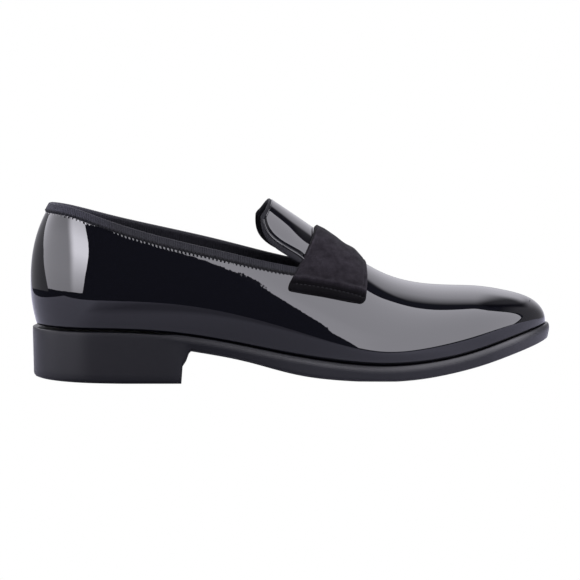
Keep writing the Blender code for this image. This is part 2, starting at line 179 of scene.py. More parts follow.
# Threads: sides, rings, and how they thin out and dip at their ends
THREAD_SIDES = 6
THREAD_RINGS = 7
THREAD_TAPER = 6
THREAD_END = 0.05
THREAD_SINK = 0.45
THREAD_ARCH = 1.1

# Strap outline, close to the part's own
STRAP_REAR_TOP = 165.6
STRAP_REAR_END = 148.8
STRAP_REAR_POWER = 2.7
STRAP_FRONT_TOP = 196.2
STRAP_FRONT_END = 194.6
STRAP_FRONT_POWER = 4
STRAP_REAR_Z = 54.0
STRAP_FRONT_Z = 46.6
STRAP_CORNER = 3.0
STRAP_HALF_RUN = 46.0
STRAP_ALONG = 110
STRAP_ACROSS = 240

# Strap padding: its rims, and its humps as distances from the rear edge, heights and widths
STRAP_CLEAR = 0.1
STRAP_THICK = 2.7
STRAP_EDGE_THICK = 0.86
STRAP_EDGE_RUN = 9
STRAP_ROUND = 1.7
STRAP_REAR_TIGHT = 0.8
STRAP_FRONT_ROLL = 8
STRAP_END_ROUND = 1.9
STRAP_CREST = 22
STRAP_HUMPS = ((5.0, 0.5, 4.0), (13.0, 0.6, 6.0), (26.0, 1.0, 4.5))
STRAP_EDGE_SEAM = 2.7
STRAP_SEAM_DEPTH = 0.35
STRAP_SEAM_WIDTH = 0.5

# Turned-in ends of the strap: distances of ridges and grooves from the end, heights and widths; stitches
STRAP_STITCH = 5.2
STRAP_RIDGE = 9.2
STRAP_END_RIDGES = ((STRAP_RIDGE, 0.75, 1.2), (STRAP_STITCH, -0.5, 0.6), (2.4, 0.3, 1.4))
STRAP_TURN_IN = 0.8
STRAP_TURN_RUN = 2.2
STRAP_STITCH_PITCH = 2.5
STRAP_STITCH_SHARE = 0.62
STRAP_STITCH_MARGIN = 4.0
STRAP_STITCH_RADIUS = 0.24

# Sole, as in the part's source
GAP = 0.3
WELT = 2.4
BREAST_X = 89.2
UNDERSIDE_COLUMNS = ("x", "height")
UNDERSIDE = (
    (BREAST_X + 4.4, 17.2),
    (128.0, 10.4),
    (155.0, 3.4),
    (175.0, 0.8),
    (190.0, 0.0),
    (212.0, 0.0),
    (235.0, 2.4),
    (262.0, 8.2),
    (285.0, 15.2),
    (301.0, 20.6),
    (304.0, 21.8),
)
FLAT_START = 190.0
FLAT_END = 212.0
BREAST = (
    (BREAST_X, 0.0),
    (BREAST_X + 0.8, 10.0),
    (BREAST_X + 2.9, 13.2),
    (BREAST_X + 4.4, 17.2),
)
BREAST_END = BREAST[-1][0]
TREAD_SPAN = 25.0
TOE_EDGE = 0.45
HEEL_LIFT = 1.7
HEEL_LIFT_POWER = 1.5
HEEL_FLAT_X = 58.0
BREAST_SLANT = 3.4
BREAST_REACH = 26.0

# Sole lip: inset from the outline and inset on the heel, depth below the feather edge and depth on the heel
LIP_PROFILE = (
    (3.4, 3.4, 0.5, 1.7),
    (2.7, 2.4, 0.35, 1.7),
    (2.1, 1.7, 0.05, 1.5),
    (1.55, 0.8, -0.1, 1.0),
    (1.05, 0.35, 0.0, 1.05),
    (0.65, 0.12, 0.3, 1.25),
    (0.36, 0.03, 0.8, 1.7),
    (0.15, 0.05, 1.5, 2.3),
    (0.04, 0.0, 2.3, 2.7),
    (0.0, 0.0, 3.1, 3.1),
    (0.03, 0.0, 3.6, 3.6),
    (0.08, 0.0, 3.95, 3.95),
    (0.12, 0.0, 4.2, 4.2),
)
WALL_SHARES = (0.12, 0.24, 0.36, 0.48, 0.6, 0.72, 0.86)

# Lower edge of the sole: inset and inset on the heel, rise above the underside on heel and forepart
EDGE_PROFILE = (
    (0.9, 0.3, 2.6, 5.0),
    (1.1, 0.55, 1.6, 4.2),
    (1.6, 1.2, 0.75, 3.55),
    (2.6, 2.4, 0.3, 3.05),
    (3.8, 3.7, 0.1, 2.7),
    (5.0, 5.0, 0.0, 2.4),
)
HEEL_BLEND = 14.0

# Tread: share of the way across, and rise on the forepart
TREAD = ((0.06, 1.6), (0.12, 1.1), (0.2, 0.45), (0.28, 0.0), (0.5, 0.0), (0.72, 0.0), (0.8, 0.45),
         (0.88, 1.1), (0.94, 1.6))

# Stations along the plan and the sole, and the angle above which the sole's edges are hard
PLAN_COUNT = 400
SOLE_ENDS = 64
SOLE_ARCH = 60
SOLE_FLAT = 14
SOLE_WELD = 0.01
SOLE_SHARP = 38

# Gloss of the sole: stretches along the shoe in metres, and the specular level at their two ends
SOLE_GLOSS = (
    ((-0.15, -0.115), (0.31, 0.11)),
    ((-0.075, 0.02), (0.11, 0.31)),
    ((0.085, 0.13), (0.11, 0.44)),
)

# Insole: inset and rise of its side, and how its top is dished
SOCK_PROFILE = ((2.5, 0.0), (2.5, 1.5), (2.7, 2.0), (3.3, 2.4))
SOCK_DISH = 0.8
SOCK_DISH_POWER = 4
SOCK_DISH_SPAN = 40
SOCK_ROWS = 15
SOCK_SHARP = 50

# Picture: photograph's frame, and the camera's distance, height angle and roll
FRAME_PX = 580
FOCAL_PX = 2478.0
SENSOR = 36.0
CAMERA_DISTANCE = 1.45
CAMERA_ELEVATION = 5.2
CAMERA_ROLL = 0.3
CAMERA_TARGET = Vector((-0.0003, 0.0, 0.0512))

# Studio: light panels on a dome about the shoe. Azimuth 0 is towards the camera and 90 towards the toe.
DOME = 1.3
DOME_CENTRE = Vector((0, 0, 0.05))
PANEL_STEPS = 41
PANEL_COLUMNS = ("elevation", "start", "end", "start_light", "end_light")
PANELS = {
    "panel_front": (
        (-1, -5.6, 24, 5.6, 5.2),
        (9, -5.1, 24, 5.6, 5.2),
        (14, -4.9, 24, 5.6, 5.2),
        (18, -3.9, 24, 5.6, 5.2),
        (24.3, -2.4, 24, 5.6, 5.2),
        (27.5, -1.6, 24, 5.6, 5.2),
        (30, -0.8, 24, 5.6, 5.2),
        (31.7, -0.4, 24, 5.6, 5.2),
        (33.1, 0.1, 24, 5.6, 5.2),
        (34.4, 0.75, 24, 5.6, 5.2),
        (35.4, 1.5, 24, 5.6, 5.2),
        (38, 2.7, 24, 5.4, 5.2),
        (45, 4, 24, 5.2, 5.2),
        (50, 7, 24, 5.2, 5.2),
        (55, 9, 24, 5.2, 5.2),
    ),
    "panel_right": (
        (-1, 14, 78, 5.2, 5.2),
        (4.6, 14, 81.8, 5.2, 5.2),
        (12.3, 14, 85.8, 5.2, 5.2),
        (24, 14, 87, 5.2, 5.2),
        (36, 12, 88.5, 5.2, 5.2),
        (45, 4, 90.5, 5.2, 5.2),
        (50, 7, 91.5, 5.2, 5.2),
        (55, 9, 93.5, 5.2, 5.2),
        (62, 4, 98, 5.2, 5.2),
        (67, -6, 108, 5.2, 5.2),
        (72, -18, 125, 5.2, 5.2),
        (78, -32, 150, 5.2, 5.2),
        (84, -50, 165, 5.2, 5.2),
        (89, -60, 170, 5.2, 5.2),
    ),
    "panel_left": (
        (-4, -81, -25.5, 3.8, 5.4),
        (2, -92, -21.5, 4.2, 9.0),
        (6, -98, -18.8, 4.2, 12.5),
        (8.5, -105, -17.2, 4.2, 15.0),
        (10.5, -111, -16.4, 4.2, 15.0),
        (12.5, -119, -16.3, 4.1, 14.5),
        (14.5, -128, -17.2, 3.8, 12.5),
        (16.5, -135, -19, 3.6, 10.5),
        (19, -140, -22.5, 3.6, 9.0),
    ),
    "panel_over_left": (
        (18, -140, -66, 3.6, 3.6),
        (45, -150, -80, 3.0, 3.0),
    ),
    "panel_heel": (
        (-5, -175, -80, 0.5, 0.5),
        (2, -175, -91, 0.5, 0.5),
        (8.5, -175, -104, 0.5, 0.5),
        (12, -175, -116, 0.5, 0.5),
        (16, -175, -133, 0.5, 0.5),
        (40, -175, -148, 0.5, 0.5),
    ),
    "panel_side": (
        (-4, 80, 164, 0.45, 0.8),
        (2, 83, 164, 0.45, 0.9),
        (12, 87, 158, 0.45, 1.0),
        (15, 89, 156, 0.45, 1.05),
        (30, 91, 142, 0.45, 0.85),
        (42, 92, 124, 0.4, 0.4),
        (55, 94, 124, 0.06, 0.06),
    ),
    "panel_back": (
        (2, 164, 205, 0.7, 0.76),
        (10, 159, 205, 0.95, 1.05),
        (17, 155, 205, 1.1, 1.3),
        (25, 147, 205, 1.0, 1.6),
        (32, 139, 205, 0.8, 1.84),
        (41, 125, 205, 0.4, 2.06),
        (50, 124, 205, 0.15, 2.16),
        (55, 125, 205, 0.1, 1.8),
        (60, 129, 205, 0.05, 1.2),
        (63, 134, 205, 0.05, 0.55),
        (65.5, 138, 205, 0.05, 0.05),
    ),
}

# Radius of the dome by elevation where it isn't even, and the share of a panel in which its light changes
PANEL_RADIUS = {
    "panel_front": ((18, 24.3), (1.32, 2.5)),
    "panel_heel": ((0,), (1.34,)),
    "panel_over_left": ((0,), (1.36,)),
}
PANEL_RISE = {
    "panel_front": (0.0, 0.36),
    "panel_left": (0.7, 0.83),
    "panel_side": (0.4, 1.0),
    "panel_back": (0.02, 0.17),
}
PANEL_TINT = (0.985, 0.97, 1.06)

# A net over the toe that dims the back panel, and the angles where it begins, is full, thins out and ends
NET_CENTRE = Vector((0.122, -0.015, 0.047))
NET_RADIUS = 0.15
NET_AZIMUTH = (112, 126, 152, 178)
NET_ELEVATION = (27, 41, 66, 74)
NET_DIM = 0.9
NET_STEPS = 31

# Floor and room: tones of the floor along the shoe, far in front of it and near it
SHADE = (0.07, 0.073, 0.1)
FLOOR_FRONT = 0.33
FLOOR_LEFT = 0.46
FLOOR_COLUMNS = ("x", "far_tone", "near_tone")
FLOOR = (
    (-FLOOR_LEFT, 0.5, 0.5),
    (-0.16, 0.44, 0.44),
    (-0.12, 0.16, 0.31),
    (-0.05, 0.16, 0.3),
    (0.0, 0.3, 0.32),
    (0.06, 0.42, 0.42),
    (0.11, 0.52, 0.52),
    (0.16, 0.45, 0.45),
    (1.6, 0.45, 0.45),
)
FLOOR_FAR = 0.17
FLOOR_NEAR = 0.12
FLOOR_BACK = 1.6
FLOOR_DROP = 0.0002
FLOOR_TINT = (1, 1, 1.15)


# Tables, splines and lines of points

def table_columns(names, rows):
    """A table's columns by name."""
    return dict(zip(names, np.array(rows, float).T))


def natural_spline(knots, values):
    """Returns the natural cubic spline through a table's column, as a function of x."""
    knots = np.asarray(knots, float)
    values = np.asarray(values, float)
    gap = np.diff(knots)
    slope = np.diff(values) / gap
    count = len(knots)
    system = np.eye(count)
    target = np.zeros(count)
    for i in range(1, count - 1):
        system[i, i - 1:i + 2] = gap[i - 1], 2 * (gap[i - 1] + gap[i]), gap[i]
        target[i] = 6 * (slope[i] - slope[i - 1])
    bend = np.linalg.solve(system, target)

    def value(x):
        x = np.asarray(x, float)
        i = np.clip(np.searchsorted(knots, x) - 1, 0, count - 2)
        ahead = knots[i + 1] - x
        behind = x - knots[i]
        cubic = (bend[i] * ahead ** 3 + bend[i + 1] * behind ** 3) / (6 * gap[i])
        start = (values[i] / gap[i] - bend[i] * gap[i] / 6) * ahead
        end = (values[i + 1] / gap[i] - bend[i + 1] * gap[i] / 6) * behind
        return cubic + start + end

    return value


def table_splines(names, rows):
    """One spline of the first column for each other named column of a table."""
    table = table_columns(names, rows)
    return {name: natural_spline(table[names[0]], table[name]) for name in names[1:]}


def unit(vectors):
    """Vectors brought to a length of one."""
    return vectors / np.linalg.norm(vectors, axis=-1, keepdims=True)


def smooth(share):
    """A share clipped to 0 and 1 that leaves both gently."""
    share = np.clip(share, 0, 1)
    return share * share * (3 - 2 * share)


def bell(distance, height, width):
    """A rounded bump that dies out a little beyond its width."""
    return height * np.exp(-(distance / width) ** 2)


def cluster(count, power=2.0):
    """Values from 0 to 1, closer together at both ends."""
    share = np.linspace(-1, 1, count)
    return 0.5 + 0.5 * np.sign(share) * (1 - (1 - np.abs(share)) ** power)


def path_run(points):
    """Distance along a line of points, from its first one."""
    return np.concatenate([[0], np.cumsum(np.linalg.norm(np.diff(points, axis=0), axis=1))])


def along_path(at, run, points):
    """Points at given distances along a line."""
    return np.stack([np.interp(at, run, points[:, k]) for k in range(3)], axis=-1)


def grid_run(grid, axis):
    """Distance along an axis of a grid of points, from its first line."""
    steps = np.diff(grid, axis=axis, prepend=np.take(grid, [0], axis=axis))
    return np.linalg.norm(steps, axis=2).cumsum(axis=axis)


def grid_normals(grid):
    """Directions square to a grid of points, by the right hand from its rows' run to its columns'."""
    return unit(np.cross(np.gradient(grid, axis=0), np.gradient(grid, axis=1)))


# The last

SECTION = table_splines(SECTION_COLUMNS, SECTIONS)
COLLAR_SPLINES = table_splines(COLLAR_COLUMNS, COLLAR)
collar_height = COLLAR_SPLINES["height"]
medial_rise = COLLAR_SPLINES["medial_rise"]
arch_height = table_splines(UNDERSIDE_COLUMNS, UNDERSIDE)["height"]


def heel_round(x):
    """Rounds the last off at the heel."""
    return 1 - np.clip(1 - x / HEEL_ROUND, 0, 1) ** HEEL_ROUND_POWER


def toe_round(x):
    """Rounds the last off at the toe."""
    return 1 - np.clip(1 - (TOE_X - x) / TOE_ROUND, 0, 1) ** TOE_ROUND_POWER


def section(x):
    """Sizes of the last's section at x, rounded off at heel and toe."""
    size = {name: spline(x) for name, spline in SECTION.items()}
    width = np.sqrt(heel_round(x)) * toe_round(x) ** TOE_WIDTH_POWER
    height = toe_round(x) ** TOE_HEIGHT_POWER
    for name in ("half", "lean", "tuck"):
        size[name] = size[name] * width
    for name in ("swell", "crown"):
        size[name] = size[name] * height
    return size


def back_shift(x, z):
    """How far the heel's back curve leans in at height z, fading out along the quarters."""
    above = np.clip((z - BULGE_Z) / (BACK_TOP_Z - BULGE_Z), 0, None)
    below = np.clip((BULGE_Z - z) / (BULGE_Z - BACK_FOOT_Z), 0, None)
    lean = BACK_TOP_LEAN * above ** BACK_TOP_POWER + BACK_FOOT_LEAN * below ** 2
    return lean * np.clip(1 - x / BACK_REACH, 0, 1) ** 3


def last_point(x, t):
    """Point of the last at station x. On the lateral side t is -1 at the feather edge and 0 at the swell,
    and on the medial side 1 at the swell and 2 at the feather edge."""
    x, t = np.broadcast_arrays(np.asarray(x, float), np.asarray(t, float))
    size = section(x)
    over = math.pi * np.clip(t, 0, 1)
    down = np.clip(-t, 0, 1) + np.clip(t - 1, 0, 1)
    across = -np.cos(over) * (1 - size["pinch"] * np.sin(2 * over) ** 2)
    rise = np.clip(np.sin(over), 0, 1) ** size["fullness"]
    belly = bell(x - BELLY_X, BELLY, BELLY_SPAN) * (1 - down) ** BELLY_POWER
    half = size["half"] - size["tuck"] * down ** 2 + belly
    y = size["centre"] + across * half + size["lean"] * (1 - across ** 2)
    z = size["feather"] + size["swell"] * (1 - down) + (size["crown"] - size["swell"]) * rise
    return np.stack([x + back_shift(x, z), y, z], axis=-1)


def level(x, height):
    """Value of t at which the lateral wall above the swell reaches a height."""
    size = section(x)
    share = (height - size["feather"] - size["swell"]) / (size["crown"] - size["swell"])
    return np.arcsin(np.clip(share, 0, 1) ** (1 / size["fullness"])) / math.pi


def fair_row(x, t):
    """Points of one section with its curvature faired, so that the gloss shows no breaks."""
    line = last_point(x, FINE_T)
    run = path_run(line)
    if run[-1] < POINT_SIZE:
        return last_point(x, t)
    even = np.linspace(0, run[-1], FINE_COUNT)
    points = along_path(even, run, line)
    step = run[-1] / (FINE_COUNT - 1)
    sigma = min(FAIRING, run[-1] * FAIRING_SHARE)
    reach = int(FAIRING_REACH * sigma / step) + 1
    kernel = np.exp(-0.5 * (np.arange(-reach, reach + 1) * step / sigma) ** 2)
    kernel /= kernel.sum()
    head = 2 * points[0] - points[reach:0:-1]
    tail = 2 * points[-1] - points[-2:-reach - 2:-1]
    padded = np.concatenate([head, points, tail])
    fair = np.stack([np.convolve(padded[:, k], kernel, "valid") for k in range(3)], axis=1)
    return along_path(np.interp(t, FINE_T, run), even, fair)


def fair_sheet(x_rows, t_rows):
    """A grid of faired points: one station and one set of t values to a row."""
    return np.stack([fair_row(x, t) for x, t in zip(x_rows, t_rows)])


def fair_points(x, t):
    """Faired points for grids of stations and t values that both vary."""
    x, t = np.broadcast_arrays(np.asarray(x, float), np.asarray(t, float))
    flat = [fair_row(a, np.array([b]))[0] for a, b in zip(x.ravel(), t.ravel())]
    return np.array(flat).reshape(*x.shape, 3)


def tongue_row(along, across):
    """One row of the tongue: along is 0 at the throat and 1 at the tip, across -1 lateral and 1 medial."""
    x = THROAT_X + (TONGUE_X - THROAT_X) * along
    ridge = last_point(x, RIDGE)
    root_drop = last_point(THROAT_X, RIDGE)[2] - collar_height(THROAT_X)
    drop = root_drop * (1 - TONGUE_TAPER * along) * (1 - TONGUE_ROUND * along ** TONGUE_ROUND_POWER)
    drop = drop * np.where(across > 0, 1 + TONGUE_SKEW * np.sin(math.pi * along), 1)
    edge = level(x, ridge[2] - drop)
    point = fair_row(x, RIDGE + across * (RIDGE - edge))
    fall = ridge - point
    point[..., 0] += smooth(along) * (TONGUE_TURN * fall[..., 1] - TONGUE_RAKE * fall[..., 2])
    point[..., 1] -= TONGUE_FLARE * smooth(along / TONGUE_FLARE_END) * fall[..., 1]
    return point


def feather_loop(stations, grow):
    """Feather edge in plan as a closed loop from the heel along the lateral side, grown outwards."""
    lateral = last_point(stations, -1.0)
    medial = last_point(stations, 2.0)
    loop = np.concatenate([lateral, medial[-2:0:-1]])[:, :2]
    along = np.roll(loop, -1, axis=0) - np.roll(loop, 1, axis=0)
    outward = unit(np.stack([along[:, 1], -along[:, 0]], axis=1))
    return loop + grow * outward


def both_sides(values):
    """Repeats values along the lateral stations for the whole loop."""
    return np.concatenate([values, values[-2:0:-1]])


def loop_sides(loop, count):
    """The lateral and the medial side of a closed loop, both from the heel to the toe."""
    return loop[:count], loop[-np.arange(count) % len(loop)]


# Outline of the sole in plan, and the shift that puts the origin at the middle of its box
PLAN_X = TOE_X * (0.5 - 0.5 * np.cos(np.linspace(0, math.pi, PLAN_COUNT)))
LIP = feather_loop(PLAN_X, WELT)
SHIFT = np.array([-(TOE_X + WELT) / 2, -(LIP[:, 1].min() + LIP[:, 1].max()) / 2, 0.0])


# Meshes

def grid_faces(rows, columns, start=0, flip=False, wrap=False):
    """Quads of a grid numbered row by row from start; wrap joins the last column to the first."""
    steps = columns if wrap else columns - 1
    i, j = np.meshgrid(np.arange(rows - 1), np.arange(steps), indexing="ij")
    k = (j + 1) % columns
    here = i * columns + start
    there = here + columns
    quads = np.stack([here + j, there + j, there + k, here + k], axis=-1).reshape(-1, 4)
    return quads[:, ::-1] if flip else quads


def write_note(mesh, label, values):
    """Keeps a named number for each vertex, for the materials to read."""
    attribute = mesh.attributes.new(label, "FLOAT", "POINT")
    attribute.data.foreach_set("value", np.asarray(values, np.float32).ravel())


def make_object(name, sheets, weld=None, notes=None, sharp=None, cap=False):
    """Makes a mesh of several grids in millimetres, each (points, flip, wrap), joined where they meet.
    Notes are named numbers for each vertex, sharp is the angle above which edges stay hard, and cap closes
    the ends of tubes."""
    points, faces, start = [], [], 0
    for grid, flip, wrap in sheets:
        rows, columns = grid.shape[:2]
        points.append(grid.reshape(-1, 3))
        faces.append(grid_faces(rows, columns, start, flip, wrap))
        start += rows * columns
    mesh = bpy.data.meshes.new(name)
    mesh.from_pydata((np.concatenate(points) + SHIFT) * MM, [], np.concatenate(faces).tolist())
    for label, values in (notes or {}).items():
        write_note(mesh, label, values)
    work = bmesh.new()
    work.from_mesh(mesh)
    if weld:
        bmesh.ops.remove_doubles(work, verts=work.verts, dist=weld * MM)
        bmesh.ops.dissolve_degenerate(work, edges=work.edges, dist=weld * MM * FLAT_SHARE)
    if cap:
        bmesh.ops.holes_fill(work, edges=[edge for edge in work.edges if edge.is_boundary])
        bmesh.ops.recalc_face_normals(work, faces=work.faces)
    work.to_mesh(mesh)
    work.free()
    mesh.shade_smooth()
    if sharp:
        mesh.set_sharp_from_angle(angle=math.radians(sharp))
    thing = bpy.data.objects.new(name, mesh)
    bpy.context.scene.collection.objects.link(thing)
    return thing


def place(thing, material, slot, *nodes):
    """Gives a piece its material, and lets it ride on the shoe and stand for its CAD nodes. The slot is not
    used.
    """
    thing.data.materials.append(material)
    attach(thing, "root")
    if nodes:
        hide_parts(*nodes)


def thicken(thing, amount):
    """A wall of that many millimetres on the inner side."""
    shell = thing.modifiers.new("wall", "SOLIDIFY")
    shell.thickness = amount * MM
    shell.offset = -1
    shell.use_even_offset = False


def sink(thing, amount):
    """Moves a sheet inwards along its own normals."""
    mesh = thing.data
    points = np.empty(len(mesh.vertices) * 3)
    mesh.vertices.foreach_get("co", points)
    normal = np.array([n.vector for n in mesh.vertex_normals]).ravel()
    mesh.vertices.foreach_set("co", points - amount * MM * normal)
    mesh.update()


def make_threads(name, starts, ends, tops, radius):
    """Stitches: short threads from start to end that dip at both ends, with tops the way they bulge."""
    share = np.linspace(0, 1, THREAD_RINGS)
    lift = (np.sin(math.pi * share) - THREAD_SINK) * radius * THREAD_ARCH
    taper = np.sqrt(np.clip(1 - (2 * share - 1) ** THREAD_TAPER, THREAD_END, 1))
    turn = np.linspace(0, 2 * math.pi, THREAD_SIDES, endpoint=False)
    sheets = []
    for start, end, top in zip(starts, ends, tops):
        side = unit(np.cross(unit(end - start), top))
        spine = start + share[:, None] * (end - start) + lift[:, None] * top
        ring = np.cos(turn)[:, None] * side + np.sin(turn)[:, None] * top
        sheets.append((spine[:, None] + radius * taper[:, None, None] * ring, False, True))
    return make_object(name, sheets, cap=True)


# Upper

def quarter_half(step):
    """Stations from the middle of the heel to the throat, close together round the heel."""
    heel = HEEL_ROUND * np.linspace(0, 1, int(GRID_RUN["heel"] / step)) ** 2
    side = np.linspace(HEEL_ROUND, THROAT_X, int((THROAT_X - HEEL_ROUND) / step) + 1)[1:]
    return np.concatenate([heel, side])


def vamp_stations(step):
    """Stations from the throat to the toe, close together at its tip."""
    left = 1 - np.linspace(0, 1, int(GRID_RUN["vamp"] / step))
    return TOE_X - (TOE_X - THROAT_X) * (VAMP_EVEN * left + (1 - VAMP_EVEN) * left ** 2)


def tongue_sheet(rows, columns, margin):
    """The tongue from tip to throat, its edge drawn in by a margin and turned up beyond a crease."""
    share = margin / TONGUE_SIZE
    across = 2 * cluster(columns) - 1
    sheet = []
    for along in (1 - np.linspace(0, 1, rows) ** TONGUE_ROW_POWER) * (1 - share):
        sheet.append(tongue_row(along, across * (1 - share * smooth(TONGUE_MARGIN_EASE * along))))
    sheet = np.stack(sheet)
    if margin:
        side = grid_run(sheet, 1)
        back = grid_run(sheet, 0)
        beyond = TONGUE_CREASE - np.minimum(side, side[:, -1:] - side)
        lift = TONGUE_TURN_UP * 0.5 * (beyond + np.sqrt(beyond ** 2 + TONGUE_CREASE_ROUND ** 2))
        fade = smooth((back[-1:] - back) / TONGUE_CREASE)
        sheet = sheet + (lift * fade)[..., None] * grid_normals(sheet)
    return sheet


def upper_sheets(step, margin):
    """The upper's outer surface as grids: quarters round the heel, vamp, and tongue with its edge drawn in.
    Also gives, for each vertex, its run along the collar and its depth below it."""
    half = quarter_half(step)
    lower = np.linspace(-1, 0, int(GRID_RUN["lower"] / step))
    share = np.linspace(0, 1, int(GRID_RUN["side"] / step))[1:]
    edge = level(half, collar_height(half))
    far_edge = level(half, collar_height(half) + medial_rise(half))
    climbs = [np.concatenate([lower, share * top]) for top in edge]
    far_climbs = [np.concatenate([lower, share * top]) for top in far_edge]
    lateral = fair_sheet(half, climbs)
    medial = fair_sheet(half, [1 - climb for climb in far_climbs])
    quarters = np.concatenate([lateral[::-1], medial[1:]])
    over = np.linspace(edge[-1], 1 - edge[-1], int(GRID_RUN["instep"] / step))
    whole = np.concatenate([climbs[-1], over[1:-1], 1 - climbs[-1][::-1]])
    stations = vamp_stations(step)
    vamp = fair_sheet(stations, [whole] * len(stations))
    tongue = tongue_sheet(int(GRID_RUN["tongue"] / step), len(over), margin)
    run = path_run(quarters[:, -1])
    depth = grid_run(quarters[:, ::-1], 1)[:, ::-1]
    rest = np.full(vamp[..., 0].size + tongue[..., 0].size, OFF_COLLAR)
    notes = {
        "collar_run": np.concatenate([np.repeat(run, quarters.shape[1]), 0 * rest]),
        "collar_depth": np.concatenate([depth.ravel(), rest]),
    }
    return [(quarters, True, False), (vamp, False, False), (tongue, False, False)], notes


# Tongue edge

def edge_path(sheet):
    """The tongue's free edge, from the lateral throat by the tip to the medial throat."""
    return np.concatenate([sheet[::-1, 0], sheet[0, 1:-1], sheet[:, -1]])


def ease_path(path):
    """Rounds the corners of a line of points."""
    for _ in range(EDGE_EASE):
        path[1:-1] = (path[:-2] + 2 * path[1:-1] + path[2:]) / 4
    return path


def edge_frame(margin):
    """Points of the tongue's edge and the outward and upward directions there."""
    sheet = tongue_sheet(*EDGE_STEPS, margin)
    path = ease_path(edge_path(sheet))
    normal = unit(ease_path(edge_path(grid_normals(sheet))))
    along = unit(np.gradient(path, axis=0))
    return path, unit(np.cross(along, normal)), normal


def make_tongue_fold():
    """The patent leather's folded edge round the tongue."""
    path, outward, normal = edge_frame(TONGUE_MARGIN)
    turn = np.linspace(0, 2 * math.pi, FOLD_SIDES, endpoint=False)
    across = FOLD_RADIUS * np.cos(turn)[None, :, None] * outward[:, None]
    rise = FOLD_RADIUS * np.sin(turn)[None, :, None] * normal[:, None]
    middle = (path - FOLD_SINK * normal)[:, None]
    return make_object("tongue_fold", [(middle + across + rise, False, True)], weld=FINE_WELD, cap=True)


def make_tongue_band():
    """A narrow band that shows beyond the fold and closes the lining's edge."""
    path, _, normal = edge_frame(TONGUE_MARGIN)
    rim, _, _ = edge_frame(0.0)
    grid = np.stack([path + share * (rim - path) + rise * normal for share, rise in EDGE_BAND], axis=1)
    notes = {"ribbon_share": np.full(grid.shape[:2], TONGUE_BAND_TONE)}
    return make_object("tongue_band", [(grid, False, True)], weld=FINE_WELD, notes=notes, cap=True)


# Collar ribbon

def collar_frame(step):
    """Collar edge from the lateral throat round the heel to the medial one: its run and points, and the
    directions outward, up and along."""
    half = quarter_half(COLLAR_STEP)
    half = half[half < RIBBON_END_X]
    near = collar_height(half)
    far = near + medial_rise(half)
    lines = []
    for drop in (0, RIBBON_DEPTH):
        lateral = fair_points(half, level(half, near - drop))
        medial = fair_points(half, 1 - level(half, far - drop))
        lines.append(np.concatenate([lateral[::-1], medial[1:]]))
    run = path_run(lines[0])
    even = np.arange(0, run[-1], step)
    edge, base = (along_path(even, run, line) for line in lines)
    up = unit(edge - base)
    along = unit(np.gradient(edge, axis=0))
    return even, edge, unit(np.cross(up, along)), up, along


def make_ribbon():
    """The ribbed ribbon folded over the collar. Stitches press its lower edge into scallops."""
    run, edge, outward, up, _ = collar_frame(RIBBON_STEP)
    round_rib = np.sqrt(np.abs(np.sin(math.pi * run / RIBBON_PITCH)))
    scallop = np.abs(np.sin(math.pi * run / STITCH_PITCH))
    face = RIBBON_FACE + RIB_HEIGHT * (round_rib - 0.5)
    depth = RIBBON_DEPTH + SCALLOP * (scallop - 0.5)
    press = STITCH_PRESS * (1 - scallop)
    inside = RIBBON_INSIDE + 0 * run
    wall = PATENT + LINING + RIBBON_CLEAR
    outer = []
    for share, full in RIBBON_EDGE:
        inset = press if share < PRESSED_SHARE else 0
        outer.append((full * face - inset, -depth * (1 - share)))
    top = []
    for turn in np.linspace(0, math.pi, RIBBON_TOP_STEPS):
        top.append(((wall / 2 + face) * np.cos(turn) - wall / 2, face * np.sin(turn)))
    inner = [(-wall - face, -depth * share) for share in RIBBON_INNER]
    back = [(-wall - inside, -depth), (-wall - inside, inside), (inside, inside), (inside, -depth)]
    profile = outer + top + inner + back
    grid = np.stack([edge + out[:, None] * outward + rise[:, None] * up for out, rise in profile], axis=1)
    shares = [share for share, _ in RIBBON_EDGE] + [1.0] * (len(profile) - len(RIBBON_EDGE))
    notes = {
        "ribbon_share": np.tile(shares, len(run)),
        "ribbon_groove": np.repeat(1 - round_rib, len(profile)),
    }
    return make_object("collar_ribbon", [(grid, True, True)], notes=notes, sharp=RIBBON_SHARP, cap=True)


def make_ribbon_stitches():
    """One slanting stitch between each two scallops of the ribbon."""
    _, edge, outward, up, along = collar_frame(STITCH_PITCH / 2)
    every = slice(1, -1, 2)
    centre = (edge + STITCH_OUT * outward - (RIBBON_DEPTH - STITCH_RISE) * up)[every]
    half = STITCH_HALF * STITCH_PITCH * unit(along + STITCH_SLANT * up)[every]
    return make_threads("collar_stitches", centre - half, centre + half, outward[every], STITCH_RADIUS)


# Strap

def bullnose(distance, radius):
    """Share of the full height at a distance from an edge that is rounded off."""
    return np.sqrt(np.clip(1 - np.clip(1 - distance / radius, 0, 1) ** 2, 0, 1))


def strap_base():
    """Points of the last under the strap: rows from rear to front, columns from lateral to medial end."""
    across = 2 * cluster(STRAP_ACROSS) - 1
    along = cluster(STRAP_ALONG)[:, None]
    rear = STRAP_REAR_TOP + (STRAP_REAR_END - STRAP_REAR_TOP) * np.abs(across) ** STRAP_REAR_POWER
    front = STRAP_FRONT_TOP + (STRAP_FRONT_END - STRAP_FRONT_TOP) * across ** STRAP_FRONT_POWER
    left = np.clip(1 - (1 - np.abs(across)) * STRAP_HALF_RUN / STRAP_CORNER, 0, 1)
    corner = STRAP_CORNER * (1 - np.sqrt(1 - left ** 2))
    rear = rear + corner
    front = front - corner
    x = rear + (front - rear) * along
    end = STRAP_REAR_Z + (STRAP_FRONT_Z - STRAP_REAR_Z) * along + 0 * across
    return last_point(x, RIDGE + across * (RIDGE - level(x, end)))


